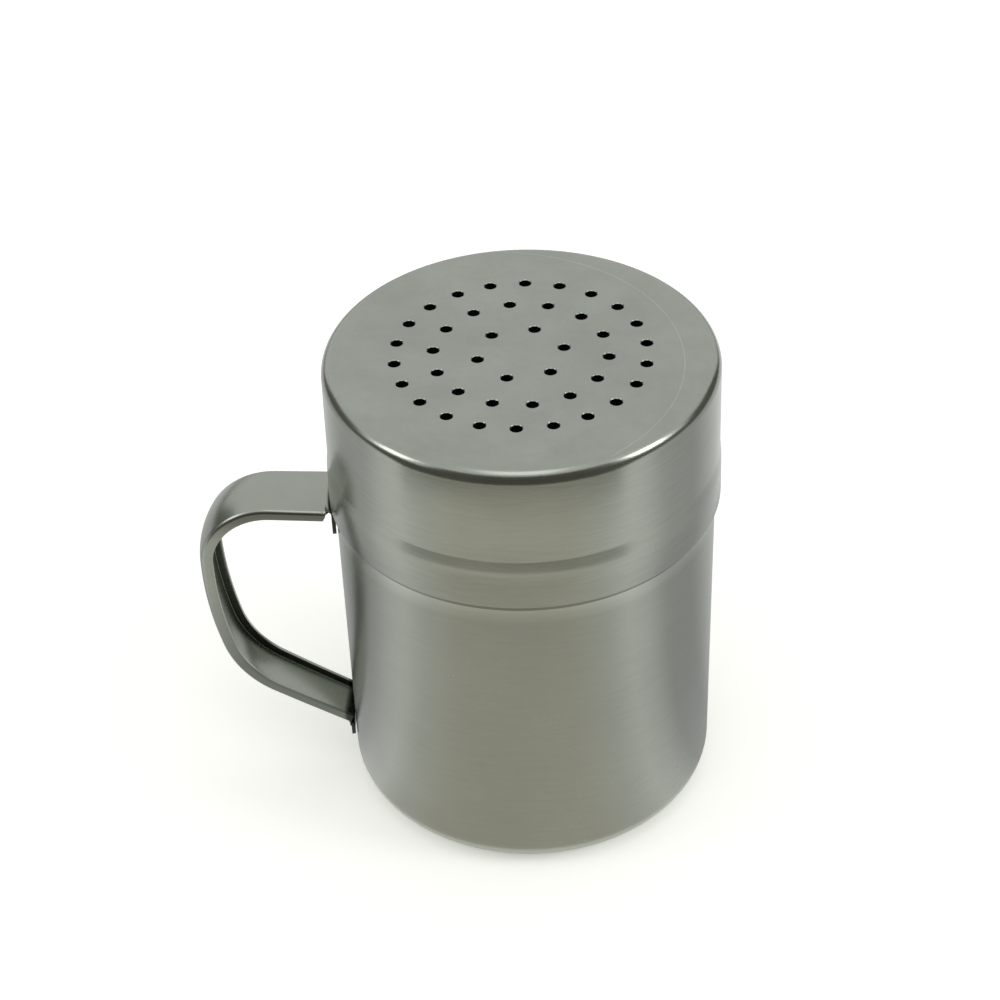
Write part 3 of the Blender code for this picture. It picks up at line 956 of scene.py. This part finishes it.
class ShakerStageOperator(Operator):
    """Builds the floor, the soft lights and the camera"""

    bl_idname = "shaker.stage"
    bl_label = "Stage"

    def execute(self, context):
        stage = context.scene.shaker_stage
        context.scene.view_settings.view_transform = "Standard"
        self.floor(stage)
        self.world(context, stage)
        self.reflected_room(context, stage)
        for lamp in LAMPS:
            self.softbox(*lamp)
        self.camera(context, stage)
        return {"FINISHED"}

    def floor(self, stage):
        mesh = bpy.data.meshes.new("floor")
        sides = ((-1, -1), (1, -1), (1, 1), (-1, 1))
        corners = [(FLOOR_HALF * x, FLOOR_HALF * y, 0) for x, y in sides]
        mesh.from_pydata(corners, [], [(0, 1, 2, 3)])
        # Matt white board: it has no gloss and takes only the soft shadow
        material = bpy.data.materials.new("matt_white_table")
        material.use_nodes = True
        shader = material.node_tree.nodes["Principled BSDF"]
        shader.inputs["Base Color"].default_value = (*stage.floor, 1.0)
        shader.inputs["Roughness"].default_value = FLOOR_ROUGHNESS
        shader.inputs["Specular IOR Level"].default_value = FLOOR_SPECULAR
        shader.inputs["Emission Color"].default_value = (*stage.floor, 1.0)
        tree = material.node_tree
        rays = add_node(tree, "ShaderNodeLightPath").outputs
        either = {0: rays["Is Camera Ray"], 1: rays["Is Glossy Ray"]}
        seen = add_node(tree, "ShaderNodeMath", either, operation="MAXIMUM").outputs[0]
        shown = {0: seen, 1: stage.floor_glow}
        glow = add_node(tree, "ShaderNodeMath", shown, operation="MULTIPLY").outputs[0]
        tree.links.new(glow, shader.inputs["Emission Strength"])
        mesh.materials.append(material)
        obj = add_object("floor", mesh)

    def reflected_room(self, context, stage):
        """A painted reflection: a sheet that glows, though it is no lamp, and shows the table and the unlit
        room beyond it to the steel's reflections only.

        The table's tone is painted round the shaker: dim in front, bright beside the side lamps. In
        front it ends near the shaker, and the dark room beyond it reaches up past the camera.
        """
        foot = context.scene.shaker_cup.rim_radius
        lift = Vector((0, 0, MM))
        rows = []
        for i in range(ROOM_STEPS + 1):
            turn = -math.pi + math.tau * i / ROOM_STEPS
            top = between(ROOM_HEIGHTS, abs(turn) / math.pi)
            facing = turn + stage.camera_azimuth
            side = Vector((math.sin(facing), -math.cos(facing), 0))
            rows.append((side * foot + lift, side + lift, side + Vector((0, 0, top))))
        mesh = sheet_mesh("reflected_room", rows)
        mesh.materials.append(self.room_material(stage))
        obj = add_object("reflected_room", mesh)
        obj.visible_camera = False
        obj.visible_diffuse = False
        obj.visible_shadow = False

    def room_material(self, stage):
        material = bpy.data.materials.new("table_in_an_unlit_room")
        material.use_nodes = True
        tree = material.node_tree
        tree.nodes.remove(tree.nodes["Principled BSDF"])
        material.cycles.emission_sampling = "NONE"
        place = add_node(tree, "ShaderNodeTexCoord").outputs["Object"]
        turned = add_node(
            tree,
            "ShaderNodeVectorRotate",
            {"Vector": place, "Angle": stage.table_turn - stage.camera_azimuth},
            rotation_type="Z_AXIS",
        ).outputs[0]
        split = add_node(tree, "ShaderNodeSeparateXYZ", {0: turned}).outputs
        front = add_node(tree, "ShaderNodeMath", {0: split["Y"], 1: -1}, operation="MULTIPLY").outputs[0]
        turn = add_node(tree, "ShaderNodeMath", {0: split["X"], 1: front}, operation="ARCTAN2").outputs[0]
        half = add_node(tree, "ShaderNodeMath", {0: turn}, operation="ABSOLUTE").outputs[0]
        part = add_node(tree, "ShaderNodeMath", {0: half, 1: math.pi}, operation="DIVIDE").outputs[0]
        tones = add_node(tree, "ShaderNodeValToRGB", {0: part})
        ramp = tones.color_ramp
        for position, tone, warmth in TABLE_TONES:
            stop = ramp.elements.new(position)
            stop.color = (tone * (1 + WARM_RED * warmth), tone, tone * (1 - WARM_BLUE * warmth), 1.0)
        ramp.elements.remove(ramp.elements[0])
        ramp.elements.remove(ramp.elements[-1])
        away = add_node(tree, "ShaderNodeVectorMath", {0: place}, operation="LENGTH").outputs["Value"]
        ends = {0: part, 1: END_SHARES[0], 2: END_SHARES[1], 3: END_DISTANCES[0], 4: END_DISTANCES[1]}
        end = add_node(tree, "ShaderNodeMapRange", ends).outputs[0]
        past = add_node(tree, "ShaderNodeMath", {0: away, 1: end}, operation="SUBTRACT").outputs[0]
        unlit = add_node(tree, "ShaderNodeMapRange", {0: past, 2: END_BLUR}).outputs[0]
        mixed = add_node(
            tree,
            "ShaderNodeMix",
            {"Factor": unlit, 6: tones.outputs[0], 7: (*stage.room, 1.0)},
            data_type="RGBA",
        )
        reach = add_node(tree, "ShaderNodeFloatCurve", {"Value": away})
        curve = reach.mapping.curves[0]
        for distance, level in TABLE_REACH:
            curve.points.new(distance, level / REACH_RANGE)
        curve.points.remove(curve.points[0])
        curve.points.remove(curve.points[-1])
        for point in curve.points:
            point.handle_type = "VECTOR"
        reach.mapping.update()
        before = {0: reach.outputs[0], 1: REACH_RANGE}
        before = add_node(tree, "ShaderNodeMath", before, operation="MULTIPLY").outputs[0]
        frontal = {0: part, 1: FRONT_SHARES[0], 2: FRONT_SHARES[1], 3: 1.0, 4: 0.0}
        frontal = add_node(tree, "ShaderNodeMapRange", frontal).outputs[0]
        (near, far), (low, high) = BESIDE_DISTANCES, BESIDE_LEVELS
        beside = {0: away, 1: near, 2: far, 3: low, 4: high}
        beside = add_node(tree, "ShaderNodeMapRange", beside).outputs[0]
        level = add_node(tree, "ShaderNodeMix", {"Factor": frontal, 2: beside, 3: before}).outputs[0]
        # The sheet glows with its painted tones: a painted reflection, not a lamp
        glow = {"Color": mixed.outputs[2], "Strength": level}
        glow = add_node(tree, "ShaderNodeEmission", glow).outputs[0]
        tree.links.new(glow, tree.nodes["Material Output"].inputs["Surface"])
        return material

    def world(self, context, stage):
        world = bpy.data.worlds.new("soft_room")
        world.use_nodes = True
        background = world.node_tree.nodes["Background"]
        background.inputs["Color"].default_value = (1.0, 1.0, 1.0, 1.0)
        background.inputs["Strength"].default_value = stage.world_level
        context.scene.world = world

    def softbox(self, name, place, size, power):
        """A square area lamp that points at the middle of the shaker."""
        lamp = bpy.data.lights.new(name, "AREA")
        lamp.shape = "SQUARE"
        lamp.size = size
        lamp.energy = power
        obj = add_object(name, lamp)
        obj.location = place
        aim = Vector((0, 0, LID_HIGH.z / 2)) - Vector(place)
        obj.rotation_mode = "QUATERNION"
        obj.rotation_quaternion = aim.to_track_quat("-Z", "Y")

    def camera(self, context, stage):
        """The photograph's view: past the shaker's middle, slightly from the right and above."""
        data = bpy.data.cameras.new("camera")
        data.lens = stage.lens
        data.sensor_width = SENSOR_WIDTH
        data.clip_start = 0.01
        camera = add_object("camera", data)
        level = math.cos(stage.camera_elevation)
        turn = stage.camera_azimuth
        back = Vector((level * math.sin(turn), -level * math.cos(turn), math.sin(stage.camera_elevation)))
        camera.location = CAMERA_AIM + back * stage.camera_distance
        camera.rotation_mode = "QUATERNION"
        roll = Quaternion((0, 0, 1), stage.camera_roll)
        camera.rotation_quaternion = back.to_track_quat("Z", "Y") @ roll
        context.scene.camera = camera


class ShakerPanel(Panel):
    """Lists the shaker's pieces and their sizes."""

    bl_idname = "SHAKER_PT_pieces"
    bl_label = "Spice shaker"
    bl_space_type = "VIEW_3D"
    bl_region_type = "UI"
    bl_category = "Shaker"

    def draw(self, context):
        for operator, group in PIECES:
            self.layout.operator(operator.bl_idname)
            values = getattr(context.scene, group)
            for name in values.bl_rna.properties.keys():
                if name not in ("rna_type", "name"):
                    self.layout.prop(values, name)


PIECES = (
    (ShakerCupOperator, "shaker_cup"),
    (ShakerLidOperator, "shaker_lid"),
    (ShakerHandleOperator, "shaker_handle"),
    (ShakerStageOperator, "shaker_stage"),
)
GROUPS = {
    "shaker_cup": ShakerCup,
    "shaker_lid": ShakerLid,
    "shaker_handle": ShakerHandle,
    "shaker_stage": ShakerStage,
}


def register():
    for name, group in GROUPS.items():
        bpy.utils.register_class(group)
        setattr(bpy.types.Scene, name, PointerProperty(type=group))
    for operator, _ in PIECES:
        bpy.utils.register_class(operator)
    bpy.utils.register_class(ShakerPanel)


def unregister():
    bpy.utils.unregister_class(ShakerPanel)
    for operator, _ in reversed(PIECES):
        bpy.utils.unregister_class(operator)
    for name, group in reversed(GROUPS.items()):
        delattr(bpy.types.Scene, name)
        bpy.utils.unregister_class(group)


def main():
    register()
    bpy.ops.shaker.cup()
    bpy.ops.shaker.lid()
    bpy.ops.shaker.handle()
    bpy.ops.shaker.stage()


if __name__ == "__main__":
    main()
